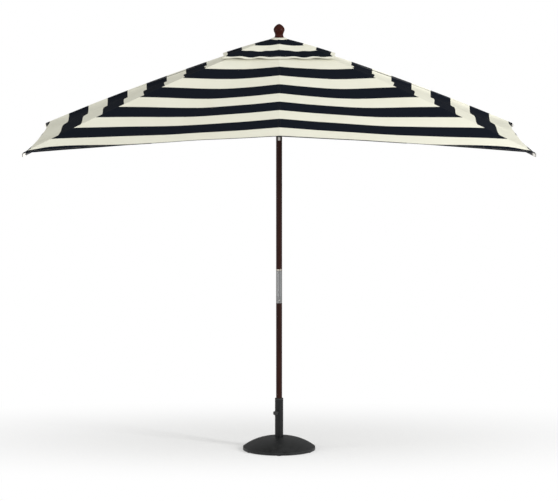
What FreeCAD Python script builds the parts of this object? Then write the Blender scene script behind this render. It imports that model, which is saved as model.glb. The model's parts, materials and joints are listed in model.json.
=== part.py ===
import FreeCAD, Part
import math
import os

V = FreeCAD.Vector

# A rectangular market umbrella, open, standing on the floor. Millimetres, +Z up, origin on the
# floor under the pole, X along the long side of the canopy, -Y towards the front.

# ---- driving dimensions: canopy ----
CORNER_X = 1524.0          # corner rib tip, on top of the cloth
CORNER_Y = 990.0
CORNER_Z = 1979.5
MID_Y = 972.0              # front and back rib tips
MID_Z = 2077.0
SIDE_X = 1480.0            # left and right rib tips
SIDE_Z = 1998.0
CORNER_ROOT_Z = 2584.0     # cloth height over the hub pins
MID_ROOT_Z = 2572.0
SIDE_ROOT_Z = 2581.0
CORNER_BEND = 5.0e-5       # downward curvature of the loaded rib, 1/mm
MID_BEND = 0.6e-5
SIDE_BEND = 4.8e-5
CLOTH = 1.0
GORE_SAG = 13.0            # dip of the cloth between two ribs
SECTOR_SHARE = 0.4992      # how much of a gore's width belongs to each of its two ribs
VENT_HOLE = 0.16           # share of the way to the hem where the main canopy starts
VENT_HEM = 0.2325          # share of the way to the hem where the vent cap ends
VENT_LIFT = 13.0           # vent cap hem above the main canopy
VENT_START = 0.8           # share of the crown's radius where the cap's sectors are drawn from
VENT_SAG = 4.0
VENT_DISH = 9.0            # how far the cap hangs below a straight line, crown to hem
CROWN_RADIUS = 56.0
CROWN_EDGE_Z = 2592.0
CROWN_TOP_Z = 2602.7
CROWN_GAP = 1.0            # crown to the cap's sectors
CROWN_BULGE = 2.0

# ---- driving dimensions: frame ----
PIVOT_RADIUS = 48.0        # hub pins and runner pins from the pole axis
HUB_Z = 2550.0             # hub pins
RUNNER_Z = 2030.0          # runner pins, umbrella open
HUB_RADIUS = 62.0
HUB_HEIGHT = 30.0
HUB_SLOT_DEPTH = 15.0      # slot floor, inside the pins
RIB_WIDTH = 12.0
RIB_HEIGHT = 17.0
RIB_GAP = 5.2              # cloth to rib, so that the rib's edges clear the sloping gores
RIB_START = 88.0           # where the straight-sided beam starts, from the pole axis
EYE_RADIUS = 9.0
PIN_RADIUS = 3.0
PIN_CLEARANCE = 0.05
PIN_HEAD_RADIUS = 5.0
PIN_HEAD = 1.5
PIN_REACH = 10.5           # half the length of a hub or runner pin
BRACKET_DEPTH = 23.0       # strut pin below the middle of the rib
BRACKET_PLATE = 2.5
BRACKET_RADIUS = 7.5
RIVET_RADIUS = 2.5
STRUT_WIDTH = 11.0
STRUT_HEIGHT = 14.0
STRUT_EYE = 8.0
SLOT_CLEARANCE = 0.8       # slot wider than the rib or strut in it
CLOSED_ANGLE = 86.5        # slope of the hub pin to bracket pin line when folded, degrees
TIP_CAP_WALL = 1.0
TIP_CAP_LENGTH = 16.0
TIP_CAP_FLOOR = 3.0
RUNNER_RADIUS = 60.0
RUNNER_FLANGE = 24.0
RUNNER_TUBE_WALL = 6.0
RUNNER_ABOVE = 26.0
RUNNER_BELOW = 38.0
RUNNER_CLEARANCE = 0.6
RUNNER_SEAT = 1.0          # play above and below a strut pin in its open seat

# ---- driving dimensions: pole and finial ----
POLE_RADIUS = 19.0
SLEEVE_BOTTOM_Z = 935.0
SLEEVE_LENGTH = 214.0
SLEEVE_WALL = 1.5
SLEEVE_FIT = 0.1
SLEEVE_RING = 8.0          # turned ring at the sleeve's mouth
SLEEVE_RING_STAND = 0.6
SPIGOT_GAP = 2.0
SLEEVE_SCREW_RADIUS = 2.2
SLEEVE_SCREW_HEAD = 5.28   # radius of the round head
SLEEVE_SCREW_SUNK = 3.3    # middle of the head, under the pole's surface
SLEEVE_SCREW_UP = 18.0
SLEEVE_SCREW_DEPTH = 12.0
SEAT_GAP = 0.3
POLE_TOP_Z = 2583.0
CROWN_WASHER_RADIUS = 27.0
STUD_RADIUS = 5.0
STUD_BELOW = 32.0
STUD_ABOVE = 36.0
FINIAL_BOTTOM_Z = 2603.0
FINIAL_HEIGHT = 84.0
FINIAL_FLARE = 29.5
FINIAL_NECK = 25.5
FINIAL_BALL = 34.5
FINIAL_SHOULDER = 21.4     # radius below the point
FINIAL_LEVELS = (0.21, 0.56, 0.86)    # neck, ball and shoulder, as shares of the height
FINIAL_FOOT = 2.0

# ---- driving dimensions: base ----
BASE_RADIUS = 228.0
BASE_EDGE_Z = 20.0         # top of the upright rim
BASE_TOP_Z = 86.0
BASE_CURVE = 2.5           # power of the dome's profile
BASE_WALL = 15.0
DOME_STATIONS = (0.35, 0.6, 0.8, 0.93)    # shares of the radius that the profile is drawn through
SHELL_STATIONS = (0.45, 0.65, 0.82)
PAD_HEIGHT = 2.5
PAD_RADIUS = 14.0
PAD_COUNT = 6
PAD_TURN = 30.0
BOSS_RADIUS = 52.0
STEM_WALL = 2.5
STEM_TOP_Z = 322.0
STEM_FIT = 0.1
FOOT_PLATE_RADIUS = 48.0
FOOT_PLATE = 6.0
FOOT_PLATE_Z = 20.0        # top of the foot plate, under the casting's boss
STEM_BOLT_COUNT = 3
STEM_BOLT_TURN = 90.0
STEM_BOLT_CIRCLE = 37.0
STEM_BOLT_RADIUS = 4.0
STEM_BOLT_HEAD = 5.3
STEM_BOLT_HEAD_RADIUS = 6.5
STEM_BOLT_LENGTH = 24.0
BUSH_CLEARANCE = 0.4       # pole in the bush
BUSH_DEPTH = 40.0
BUSH_LIP = 8.0
BUSH_WALL = 4.0
BUSH_STAND = 0.5           # lip beyond the stem
STEM_RADIUS = POLE_RADIUS + BUSH_CLEARANCE + BUSH_WALL + STEM_FIT + STEM_WALL
KNOB_Z = 241.0
KNOB_TURN = 245.0          # direction of the clamp knob seen from above, degrees from +X
KNOB_BOSS_RADIUS = 10.0
KNOB_BOSS_REACH = 36.0
KNOB_SCREW_RADIUS = 4.0
KNOB_SCREW_FIT = 0.1
KNOB_RADIUS = 16.0
KNOB_LOBES = 6
KNOB_LOBE = 4.5
KNOB_DISC = 13.8
KNOB_COLLAR = 8.8
KNOB_HEAD = 14.0           # length of the lobed part
KNOB_GAP = 2.0
KNOB_LENGTH = 20.0
PLUG_FLANGE = 10.0
PLUG_PIN_RADIUS = 8.0
PLUG_PIN = 30.0


class Rib:
    """One rib, named by its direction, with its plan direction and the cloth line above it."""

    def __init__(self, name, x, y, tip_z, root_z, bend):
        self.name = name
        self.reach = math.hypot(x, y)
        self.ux, self.uy = x / self.reach, y / self.reach
        self.tip_z, self.root_z, self.bend = tip_z, root_z, bend
        run = self.reach - PIVOT_RADIUS
        self.slope = (root_z - tip_z) / run - bend * run / 2

    def cloth_z(self, r):
        """Height of the cloth over the rib, r out from the pole axis."""
        d = r - PIVOT_RADIUS
        return self.root_z - self.slope * d - self.bend * d * d / 2

    def middle_z(self, r):
        return self.cloth_z(r) - CLOTH - RIB_GAP - RIB_HEIGHT / 2

    def bracket_z(self, r):
        return self.middle_z(r) - BRACKET_DEPTH

    def at(self, r, z, side=0.0):
        """A point r out along the rib, side to its left seen from the pole, at height z."""
        return V(self.ux * r - self.uy * side, self.uy * r + self.ux * side, z)

    def across(self):
        return V(-self.uy, self.ux, 0)


def ribs():
    """The eight ribs, anticlockwise from the front."""
    corner = (CORNER_Z, CORNER_ROOT_Z, CORNER_BEND)
    mid = (MID_Z, MID_ROOT_Z, MID_BEND)
    side = (SIDE_Z, SIDE_ROOT_Z, SIDE_BEND)
    return [
        Rib("front", 0, -MID_Y, *mid),
        Rib("front_right", CORNER_X, -CORNER_Y, *corner),
        Rib("right", SIDE_X, 0, *side),
        Rib("back_right", CORNER_X, CORNER_Y, *corner),
        Rib("back", 0, MID_Y, *mid),
        Rib("back_left", -CORNER_X, CORNER_Y, *corner),
        Rib("left", -SIDE_X, 0, *side),
        Rib("front_left", -CORNER_X, -CORNER_Y, *corner),
    ]


# ---- the folding linkage ----

def solve(f, low, high):
    """The root of a rising or falling f between low and high."""
    sign = 1 if f(high) > 0 else -1
    for _ in range(60):
        half = (low + high) / 2
        low, high = (low, half) if f(half) * sign > 0 else (half, high)
    return (low + high) / 2


def folded_height(mid_rib):
    """Hub pins to runner pins when folded. The front strut is as long as its rib's pin distance."""
    half = (HUB_Z + RUNNER_Z) / 2
    r = solve(lambda r: mid_rib.bracket_z(r) - half, RIB_START, mid_rib.reach)
    arm = math.hypot(r - PIVOT_RADIUS, HUB_Z - half)
    return 2 * arm * math.sin(math.radians(CLOSED_ANGLE))


def bracket_radius(rib, folded):
    """Where a rib's strut bracket sits, so that its strut fits both open and folded."""
    closed = math.radians(CLOSED_ANGLE)

    def misfit(r):
        out, down = r - PIVOT_RADIUS, HUB_Z - rib.bracket_z(r)
        arm = math.hypot(out, down)
        open_strut = math.hypot(out, HUB_Z - RUNNER_Z - down)
        closed_strut = math.hypot(arm * math.cos(closed), folded - arm * math.sin(closed))
        return open_strut - closed_strut

    return solve(misfit, RIB_START, rib.reach)


# ---- small shapes ----

def cylinder(radius, height, z, x=0.0, y=0.0):
    return Part.makeCylinder(radius, height, V(x, y, z))


def ring(outer, inner, height, z):
    return cylinder(outer, height, z).cut(cylinder(inner, height, z))


def spun(edges):
    """A solid of revolution about Z from edges in the XZ plane."""
    return Part.Face(Part.Wire(Part.__sortEdges__(edges))).revolve(V(0, 0, 0), V(0, 0, 1), 360)


def line(a, b):
    return Part.LineSegment(a, b).toShape()


def spline(points):
    curve = Part.BSplineCurve()
    curve.interpolate(points)
    return curve.toShape()


def outline(points):
    return Part.Face(Part.makePolygon(points + points[:1]))


def pin(rib, r, z, radius, reach):
    """A pin across a rib's plane, reach to each side."""
    return Part.makeCylinder(radius, 2 * reach, rib.at(r, z, -reach), rib.across())


def slab(rib, points, width):
    """A plate width thick in a rib's plane, from its outline as (r, z) pairs."""
    face = outline([rib.at(r, z, -width / 2) for r, z in points])
    return face.extrude(rib.across() * width)


def bar(rib, start, end, half_height, width):
    """A straight flat-sided bar between two (r, z) points in a rib's plane."""
    run = V(end[0] - start[0], 0, end[1] - start[1]).normalize()
    dr, dz = -run.z * half_height, run.x * half_height
    return slab(rib, [(start[0] + dr, start[1] + dz), (end[0] + dr, end[1] + dz),
                      (end[0] - dr, end[1] - dz), (start[0] - dr, start[1] - dz)], width)


# ---- frame ----

def rib_beam(rib, bracket_r):
    """A bent fibreglass bar with a rounded eye for its hub pin."""
    half = RIB_WIDTH / 2
    rise = RIB_HEIGHT / 2
    stations = [RIB_START + (rib.reach - RIB_START) * n / 4 for n in range(5)]
    upper = [rib.at(r, rib.middle_z(r) + rise, -half) for r in stations]
    lower = [rib.at(r, rib.middle_z(r) - rise, -half) for r in stations]
    edges = [spline(upper), line(upper[-1], lower[-1]), spline(lower), line(lower[0], upper[0])]
    beam = Part.Face(Part.Wire(Part.__sortEdges__(edges))).extrude(rib.across() * RIB_WIDTH)
    start_z = rib.middle_z(RIB_START)
    web = slab(rib, [(PIVOT_RADIUS, HUB_Z + EYE_RADIUS), (RIB_START, start_z + rise),
                     (RIB_START, start_z - rise), (PIVOT_RADIUS, HUB_Z - EYE_RADIUS)], RIB_WIDTH)
    solid = beam.fuse([web, pin(rib, PIVOT_RADIUS, HUB_Z, EYE_RADIUS, half)]).removeSplitter()
    solid = solid.cut(pin(rib, PIVOT_RADIUS, HUB_Z, PIN_RADIUS + PIN_CLEARANCE, RIB_WIDTH))
    rivet = RIVET_RADIUS + PIN_CLEARANCE
    return solid.cut(pin(rib, bracket_r, rib.middle_z(bracket_r), rivet, RIB_WIDTH))


def headed_pin(rib, r, z, radius, reach):
    heads = [Part.makeCylinder(radius + PIN_HEAD_RADIUS - PIN_RADIUS, PIN_HEAD,
                               rib.at(r, z, side), rib.across())
             for side in (-reach - PIN_HEAD, reach)]
    return pin(rib, r, z, radius, reach).fuse(heads).removeSplitter()


def bracket(rib, bracket_r):
    """Two side plates riveted to the rib, with the strut's pin below it."""
    rib_z, pin_z = rib.middle_z(bracket_r), rib.bracket_z(bracket_r)
    inner = RIB_WIDTH / 2 + PIN_CLEARANCE
    reach = inner + BRACKET_PLATE + PIN_CLEARANCE
    whole = bar(rib, (bracket_r, rib_z), (bracket_r, pin_z), BRACKET_RADIUS, 2 * (reach - PIN_CLEARANCE))
    whole = whole.fuse([pin(rib, bracket_r, z, BRACKET_RADIUS, reach - PIN_CLEARANCE)
                        for z in (rib_z, pin_z)])
    wide = 4 * BRACKET_RADIUS
    middle = bar(rib, (bracket_r, rib_z + wide), (bracket_r, pin_z - wide), wide, 2 * inner)
    plates = whole.cut([middle,
                        pin(rib, bracket_r, rib_z, RIVET_RADIUS + PIN_CLEARANCE, wide),
                        pin(rib, bracket_r, pin_z, PIN_RADIUS + PIN_CLEARANCE, wide)])
    return plates.Solids + [headed_pin(rib, bracket_r, rib_z, RIVET_RADIUS, reach),
                            headed_pin(rib, bracket_r, pin_z, PIN_RADIUS, reach)]


def tip_cap(rib):
    """A metal cup on the end of the rib."""
    end = rib.reach
    start = end - TIP_CAP_LENGTH + TIP_CAP_FLOOR
    rise = RIB_HEIGHT / 2
    gap = SEAT_GAP / 2

    def block(first, last, extra):
        """The rib's own section, grown by extra, between two radii."""
        points = [(first, rib.middle_z(first) + rise + extra), (last, rib.middle_z(last) + rise + extra),
                  (last, rib.middle_z(last) - rise - extra), (first, rib.middle_z(first) - rise - extra)]
        return slab(rib, points, RIB_WIDTH + 2 * extra)

    outer = block(start, end + TIP_CAP_FLOOR, gap + TIP_CAP_WALL)
    return outer.cut(block(start - 1, end + gap, gap))


def strut(rib, bracket_r):
    """A flat-sided bar with an eye at the bracket, and the pin that it bears on the runner with."""
    outer, inner = (bracket_r, rib.bracket_z(bracket_r)), (PIVOT_RADIUS, RUNNER_Z)
    body = bar(rib, outer, inner, STRUT_HEIGHT / 2, STRUT_WIDTH)
    body = body.fuse([pin(rib, r, z, STRUT_EYE, STRUT_WIDTH / 2) for r, z in (outer, inner)])
    body = body.removeSplitter()
    for r, z in (outer, inner):
        body = body.cut(pin(rib, r, z, PIN_RADIUS + PIN_CLEARANCE, STRUT_WIDTH))
    return [body, pin(rib, *inner, PIN_RADIUS, PIN_REACH)]


def slot(rib, first, last, width, z, height):
    """A radial slot's negative, between two radii."""
    half = height / 2
    return slab(rib, [(first, z - half), (last, z - half), (last, z + half), (first, z + half)], width)


def top_hub(frame):
    """A slotted disc on the pole top, with a pin hole through each pair of lugs."""
    body = ring(HUB_RADIUS, POLE_RADIUS + STEM_FIT, HUB_HEIGHT, HUB_Z - HUB_HEIGHT / 2)
    floor = PIVOT_RADIUS - HUB_SLOT_DEPTH
    for rib in frame:
        body = body.cut(slot(rib, floor, 2 * HUB_RADIUS, RIB_WIDTH + SLOT_CLEARANCE, HUB_Z,
                             2 * HUB_HEIGHT))
        body = body.cut(pin(rib, PIVOT_RADIUS, HUB_Z, PIN_RADIUS + PIN_CLEARANCE,
                            PIN_REACH + PIN_CLEARANCE))
    return body


def hub_pins(frame):
    return [pin(rib, PIVOT_RADIUS, HUB_Z, PIN_RADIUS, PIN_REACH) for rib in frame]


def runner(frame):
    """A flanged tube on the pole. Its pin seats are open outwards, so a strut pin can leave."""
    bore = POLE_RADIUS + RUNNER_CLEARANCE
    body = cylinder(bore + RUNNER_TUBE_WALL, RUNNER_ABOVE + RUNNER_BELOW, RUNNER_Z - RUNNER_BELOW)
    body = body.fuse(cylinder(RUNNER_RADIUS, RUNNER_FLANGE, RUNNER_Z - RUNNER_FLANGE / 2))
    body = body.cut(cylinder(bore, 4 * RUNNER_BELOW, RUNNER_Z - 2 * RUNNER_BELOW))
    floor = PIVOT_RADIUS - HUB_SLOT_DEPTH
    seat = PIN_RADIUS + RUNNER_SEAT
    for rib in frame:
        body = body.cut(slot(rib, floor, 2 * RUNNER_RADIUS, STRUT_WIDTH + SLOT_CLEARANCE, RUNNER_Z,
                             2 * RUNNER_FLANGE))
        reach = PIN_REACH + RUNNER_SEAT
        body = body.cut(pin(rib, PIVOT_RADIUS, RUNNER_Z, seat, reach))
        body = body.cut(slot(rib, PIVOT_RADIUS, 2 * RUNNER_RADIUS, 2 * reach, RUNNER_Z, 2 * seat))
    return max(body.Solids, key=lambda solid: solid.Volume)


# ---- cloth ----

def between(a, b, share):
    return a + (b - a) * share


def half_gore(near, far, first, last, height, sag):
    """A thin closed half gore, from one rib's line to the middle of the gore beside it.

    first gives the radius that the cloth starts at on a rib, last the share where it ends."""
    steps = 4
    ridge, middle = [], []
    for n in range(steps + 1):
        s = n / steps
        on_near, on_far = (between(first(rib), last * rib.reach, s) for rib in (near, far))
        a = near.at(on_near, height(near, on_near))
        b = far.at(on_far, height(far, on_far))
        dip = sag * math.sin(math.pi * (0.25 + 0.75 * s))
        ridge.append(a)
        middle.append(between(a, b, SECTOR_SHARE) - V(0, 0, dip))
    face = Part.makeRuledSurface(spline(ridge), spline(middle))
    return face.extrude(V(0, 0, -CLOTH))


def sector(frame, number, first, last, height, sag):
    """The cloth that one rib carries: half a gore on each side."""
    rib = frame[number]
    halves = [half_gore(rib, frame[(number + step) % len(frame)], first, last, height, sag)
              for step in (-1, 1)]
    return halves[0].fuse(halves[1]).removeSplitter()


def canopy_sector(frame, number):
    return sector(frame, number, lambda rib: VENT_HOLE * rib.reach, 1.0, Rib.cloth_z, GORE_SAG)


def vent_z(rib, r):
    """Height of the vent cap over a rib."""
    hem = VENT_HEM * rib.reach
    s = (r - CROWN_RADIUS) / (hem - CROWN_RADIUS)
    straight = CROWN_EDGE_Z + (rib.cloth_z(hem) + VENT_LIFT - CROWN_EDGE_Z) * s
    return straight - VENT_DISH * math.sin(math.pi * s) * (1 - s)


def vent_sector(frame, number):
    """One rib's share of the vent cap, cut out round the crown."""
    cloth = sector(frame, number, lambda rib: VENT_START * CROWN_RADIUS, VENT_HEM, vent_z, VENT_SAG)
    return cloth.cut(cylinder(CROWN_RADIUS, CROWN_TOP_Z, 0))


def vent_crown():
    """The round centre of the vent cap, clamped between the crown washer and the finial."""
    edge = CROWN_RADIUS - CROWN_GAP
    hole = STUD_RADIUS + SEAT_GAP
    flat = FINIAL_FLARE
    middle = (flat + edge) / 2
    bulge = (CROWN_TOP_Z + CROWN_EDGE_Z) / 2 + CROWN_BULGE
    top = [V(hole, 0, CROWN_TOP_Z), V(flat, 0, CROWN_TOP_Z), V(middle, 0, bulge), V(edge, 0, CROWN_EDGE_Z)]
    under = [point - V(0, 0, CLOTH) for point in top]
    curve = Part.Arc(top[1], top[2], top[3]).toShape()
    lower = Part.Arc(under[1], under[2], under[3]).toShape()
    return spun([line(top[0], top[1]), curve, line(top[3], under[3]), lower,
                 line(under[1], under[0]), line(under[0], top[0])])


# ---- pole ----

def sleeve_top():
    return SLEEVE_BOTTOM_Z + SLEEVE_LENGTH


def spigot_radius():
    return POLE_RADIUS - SLEEVE_WALL - SLEEVE_FIT


def spigot_meeting():
    """Height where the two poles meet inside the sleeve."""
    return SLEEVE_BOTTOM_Z + SLEEVE_LENGTH / 2


def pole_foot_z():
    return FOOT_PLATE_Z + SEAT_GAP


def pole_foot():
    """The plug in the pole's lower end, which stands on the stem's foot plate."""
    z = pole_foot_z()
    flange = cylinder(POLE_RADIUS - SEAT_GAP, PLUG_FLANGE, z)
    return flange.fuse(cylinder(PLUG_PIN_RADIUS, PLUG_PIN, z + PLUG_FLANGE)).removeSplitter()


def lower_pole():
    bottom = pole_foot_z() + PLUG_FLANGE + SEAT_GAP
    body = cylinder(POLE_RADIUS, SLEEVE_BOTTOM_Z - SEAT_GAP - bottom, bottom)
    spigot = cylinder(spigot_radius(), spigot_meeting() - SPIGOT_GAP - SLEEVE_BOTTOM_Z + SEAT_GAP,
                      SLEEVE_BOTTOM_Z - SEAT_GAP)
    body = body.fuse(spigot).removeSplitter()
    body = body.cut(cylinder(PLUG_PIN_RADIUS + PIN_CLEARANCE, PLUG_PIN + 1, bottom - 1))
    return body.cut([screw_shape(x, SLEEVE_FIT) for x in (-1, 1)])


def screw_shape(side, grow=0.0):
    """A round-headed screw through the sleeve into the lower pole."""
    z = SLEEVE_BOTTOM_Z + SLEEVE_SCREW_UP
    start = V(0, -side * (POLE_RADIUS - SLEEVE_SCREW_DEPTH), z)
    return Part.makeCylinder(SLEEVE_SCREW_RADIUS + grow, SLEEVE_SCREW_DEPTH + grow, start, V(0, -side, 0))


def sleeve_screws():
    screws = []
    for side in (-1, 1):
        head = Part.makeSphere(SLEEVE_SCREW_HEAD, V(0, -side * (POLE_RADIUS - SLEEVE_SCREW_SUNK),
                                                    SLEEVE_BOTTOM_Z + SLEEVE_SCREW_UP))
        outside = head.cut(cylinder(POLE_RADIUS + SLEEVE_FIT, SLEEVE_LENGTH, SLEEVE_BOTTOM_Z))
        screws.append(screw_shape(side).fuse(outside).removeSplitter())
    return screws


def coupling_sleeve():
    """A metal tube as wide as the pole, with a turned ring at its mouth."""
    body = cylinder(POLE_RADIUS, SLEEVE_LENGTH, SLEEVE_BOTTOM_Z)
    mouth = cylinder(POLE_RADIUS + SLEEVE_RING_STAND, SLEEVE_RING, sleeve_top() - SLEEVE_RING)
    body = body.fuse(mouth).cut(cylinder(POLE_RADIUS - SLEEVE_WALL, 2 * SLEEVE_LENGTH,
                                         SLEEVE_BOTTOM_Z - SLEEVE_LENGTH / 2))
    return body.cut([screw_shape(side, SLEEVE_FIT) for side in (-1, 1)])


def upper_pole():
    start = sleeve_top() + SEAT_GAP
    body = cylinder(POLE_RADIUS, POLE_TOP_Z - start, start)
    spigot = cylinder(spigot_radius(), start - spigot_meeting(), spigot_meeting())
    body = body.fuse(spigot).removeSplitter()
    return body.cut(cylinder(STUD_RADIUS + SLEEVE_FIT, STUD_BELOW + 1, POLE_TOP_Z - STUD_BELOW - 1))


def crown_washer():
    height = CROWN_TOP_Z - CLOTH - SEAT_GAP - POLE_TOP_Z
    return ring(CROWN_WASHER_RADIUS, STUD_RADIUS + SLEEVE_FIT, height, POLE_TOP_Z)


def finial_stud():
    bottom = POLE_TOP_Z - STUD_BELOW
    return cylinder(STUD_RADIUS, FINIAL_BOTTOM_Z + STUD_ABOVE - bottom, bottom)


def finial():
    """A turned knob: a flared foot, a neck and an egg-shaped ball with a blunt point."""
    z, top = FINIAL_BOTTOM_Z, FINIAL_BOTTOM_Z + FINIAL_HEIGHT
    radii = (FINIAL_NECK, FINIAL_BALL, FINIAL_SHOULDER)
    points = [V(FINIAL_FLARE, 0, z + FINIAL_FOOT)]
    points += [V(radius, 0, z + level * FINIAL_HEIGHT) for radius, level in zip(radii, FINIAL_LEVELS)]
    points.append(V(0, 0, top))
    body = spun([spline(points), line(V(0, 0, top), V(0, 0, z)), line(V(0, 0, z), V(FINIAL_FLARE, 0, z)),
                 line(V(FINIAL_FLARE, 0, z), points[0])])
    return body.cut(cylinder(STUD_RADIUS + PIN_CLEARANCE, STUD_ABOVE + 2, z - 1))


# ---- base ----

def dome_z(r):
    return BASE_EDGE_Z + (BASE_TOP_Z - BASE_EDGE_Z) * (1 - (r / BASE_RADIUS) ** BASE_CURVE)


def base_casting():
    """A domed iron shell, open below, with a boss round the stem."""
    bore = STEM_RADIUS + STEM_FIT
    rim = BASE_RADIUS
    outer = [V(r, 0, dome_z(r)) for r in [bore] + [share * rim for share in DOME_STATIONS] + [rim]]
    under = [BOSS_RADIUS] + [share * rim for share in SHELL_STATIONS] + [rim - BASE_WALL]
    inner = [V(r, 0, dome_z(r) - BASE_WALL) for r in under]
    low = V(rim, 0, PAD_HEIGHT)
    inner_low = V(rim - BASE_WALL, 0, PAD_HEIGHT)
    boss_low = V(BOSS_RADIUS, 0, FOOT_PLATE_Z)
    bore_low = V(bore, 0, FOOT_PLATE_Z)
    body = spun([spline(outer), line(outer[-1], low), line(low, inner_low), line(inner_low, inner[-1]),
                 spline(inner), line(inner[0], boss_low), line(boss_low, bore_low),
                 line(bore_low, outer[0])])
    return body.cut([bolt_shape(n, STEM_FIT) for n in range(STEM_BOLT_COUNT)])


def bolt_points():
    return list(ring_points(STEM_BOLT_CIRCLE, STEM_BOLT_COUNT, STEM_BOLT_TURN))


def ring_points(radius, count, turn):
    for n in range(count):
        angle = math.radians(turn + 360 * n / count)
        yield radius * math.cos(angle), radius * math.sin(angle)


def base_pads():
    """Rubber pads under the rim."""
    middle = BASE_RADIUS - max(BASE_WALL / 2, PAD_RADIUS)
    return [cylinder(PAD_RADIUS, PAD_HEIGHT, 0, x, y)
            .common(ring(BASE_RADIUS - 1, BASE_RADIUS - BASE_WALL + 1, PAD_HEIGHT, 0))
            for x, y in ring_points(middle, PAD_COUNT, PAD_TURN)]


def bolt_shape(number, grow=0.0):
    x, y = bolt_points()[number]
    bottom = FOOT_PLATE_Z - FOOT_PLATE
    return cylinder(STEM_BOLT_RADIUS + grow, STEM_BOLT_LENGTH + grow, bottom, x, y)


def stem_bolts():
    """Three bolts up through the foot plate into the casting's boss."""
    bolts = []
    for n, (x, y) in enumerate(bolt_points()):
        head = cylinder(STEM_BOLT_HEAD_RADIUS, STEM_BOLT_HEAD, FOOT_PLATE_Z - FOOT_PLATE - STEM_BOLT_HEAD, x, y)
        bolts.append(bolt_shape(n).fuse(head).removeSplitter())
    return bolts


def knob_axis():
    angle = math.radians(KNOB_TURN)
    return V(math.cos(angle), math.sin(angle), 0)


def on_knob_axis(radius, length, start):
    """A cylinder along the clamp knob's axis, starting start out from the pole axis."""
    axis = knob_axis()
    return Part.makeCylinder(radius, length, axis * start + V(0, 0, KNOB_Z), axis)


def base_stem():
    """A steel tube with a welded foot plate and a threaded boss for the clamp knob."""
    inner = STEM_RADIUS - STEM_WALL
    tube = cylinder(STEM_RADIUS, STEM_TOP_Z - FOOT_PLATE_Z, FOOT_PLATE_Z)
    boss = on_knob_axis(KNOB_BOSS_RADIUS, KNOB_BOSS_REACH, 0)
    body = tube.fuse([boss, cylinder(FOOT_PLATE_RADIUS, FOOT_PLATE, FOOT_PLATE_Z - FOOT_PLATE)])
    body = body.cut(cylinder(inner, STEM_TOP_Z, FOOT_PLATE_Z))
    body = body.cut(on_knob_axis(KNOB_SCREW_RADIUS + KNOB_SCREW_FIT, 2 * KNOB_BOSS_REACH, 0))
    return body.removeSplitter().cut([bolt_shape(n, STEM_FIT) for n in range(STEM_BOLT_COUNT)])


def stem_bush():
    """The rounded plastic ring in the stem's mouth that the pole slides through."""
    bore = POLE_RADIUS + BUSH_CLEARANCE
    lip = ring(STEM_RADIUS + BUSH_STAND, bore, BUSH_LIP, STEM_TOP_Z)
    round_edges = [edge for edge in lip.Edges
                   if edge.BoundBox.XMax > STEM_RADIUS and edge.BoundBox.ZMin > STEM_TOP_Z + BUSH_LIP / 2]
    lip = lip.makeFillet(BUSH_LIP / 2, round_edges[:1])
    skirt = ring(STEM_RADIUS - STEM_WALL - STEM_FIT, bore, BUSH_DEPTH, STEM_TOP_Z - BUSH_DEPTH)
    return lip.fuse(skirt).removeSplitter()


def knob_screw():
    start = POLE_RADIUS + SEAT_GAP
    end = KNOB_BOSS_REACH + KNOB_GAP + KNOB_HEAD
    return on_knob_axis(KNOB_SCREW_RADIUS, end - start, start)


def knob_grip():
    """A lobed grip on the clamp screw."""
    start = KNOB_BOSS_REACH + KNOB_GAP
    head = start + KNOB_LENGTH - KNOB_HEAD
    collar = on_knob_axis(KNOB_COLLAR, KNOB_LENGTH, start)
    disc = on_knob_axis(KNOB_DISC, KNOB_HEAD, head)
    side = V(0, 0, 1).cross(knob_axis())
    lobes = []
    for x, y in ring_points(KNOB_RADIUS - KNOB_LOBE, KNOB_LOBES, 90):
        centre = knob_axis() * head + side * x + V(0, 0, KNOB_Z + y)
        lobes.append(Part.makeCylinder(KNOB_LOBE, KNOB_HEAD, centre, knob_axis()))
    body = collar.fuse([disc] + lobes).removeSplitter()
    hole = on_knob_axis(KNOB_SCREW_RADIUS + PIN_CLEARANCE, KNOB_HEAD + PIN_CLEARANCE + 1, start - 1)
    return body.cut(hole)


# ---- every node ----

def nodes():
    """Each node's solids, by the node's name."""
    frame = ribs()
    folded = folded_height(frame[0])
    made = {
        "base_casting": base_casting(), "base_pads": base_pads(), "base_stem": base_stem(),
        "stem_bolts": stem_bolts(), "stem_bush": stem_bush(), "knob_screw": knob_screw(),
        "knob_grip": knob_grip(), "pole_foot": pole_foot(), "lower_pole": lower_pole(),
        "coupling_sleeve": coupling_sleeve(), "sleeve_screws": sleeve_screws(),
        "upper_pole": upper_pole(), "top_hub": top_hub(frame), "hub_pins": hub_pins(frame),
        "crown_washer": crown_washer(), "vent_crown": vent_crown(), "finial_stud": finial_stud(),
        "finial": finial(), "runner": runner(frame),
    }
    for number, rib in enumerate(frame):
        bracket_r = bracket_radius(rib, folded)
        made["rib_" + rib.name] = rib_beam(rib, bracket_r)
        made["fittings_" + rib.name] = bracket(rib, bracket_r) + [tip_cap(rib)]
        made["strut_" + rib.name] = strut(rib, bracket_r)
        made["canopy_" + rib.name] = canopy_sector(frame, number)
        made["vent_" + rib.name] = vent_sector(frame, number)
    return made


def main():
    os.makedirs("parts", exist_ok=True)
    for name, shape in nodes().items():
        if isinstance(shape, list):
            shape = Part.makeCompound(shape)
        shape.exportStep("parts/" + name + ".step")
        print(name, len(shape.Solids), "solids, valid", shape.isValid(), "volume", round(shape.Volume))


main()
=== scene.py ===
import json
import math

import bmesh
import bpy
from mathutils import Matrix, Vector, noise


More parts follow.
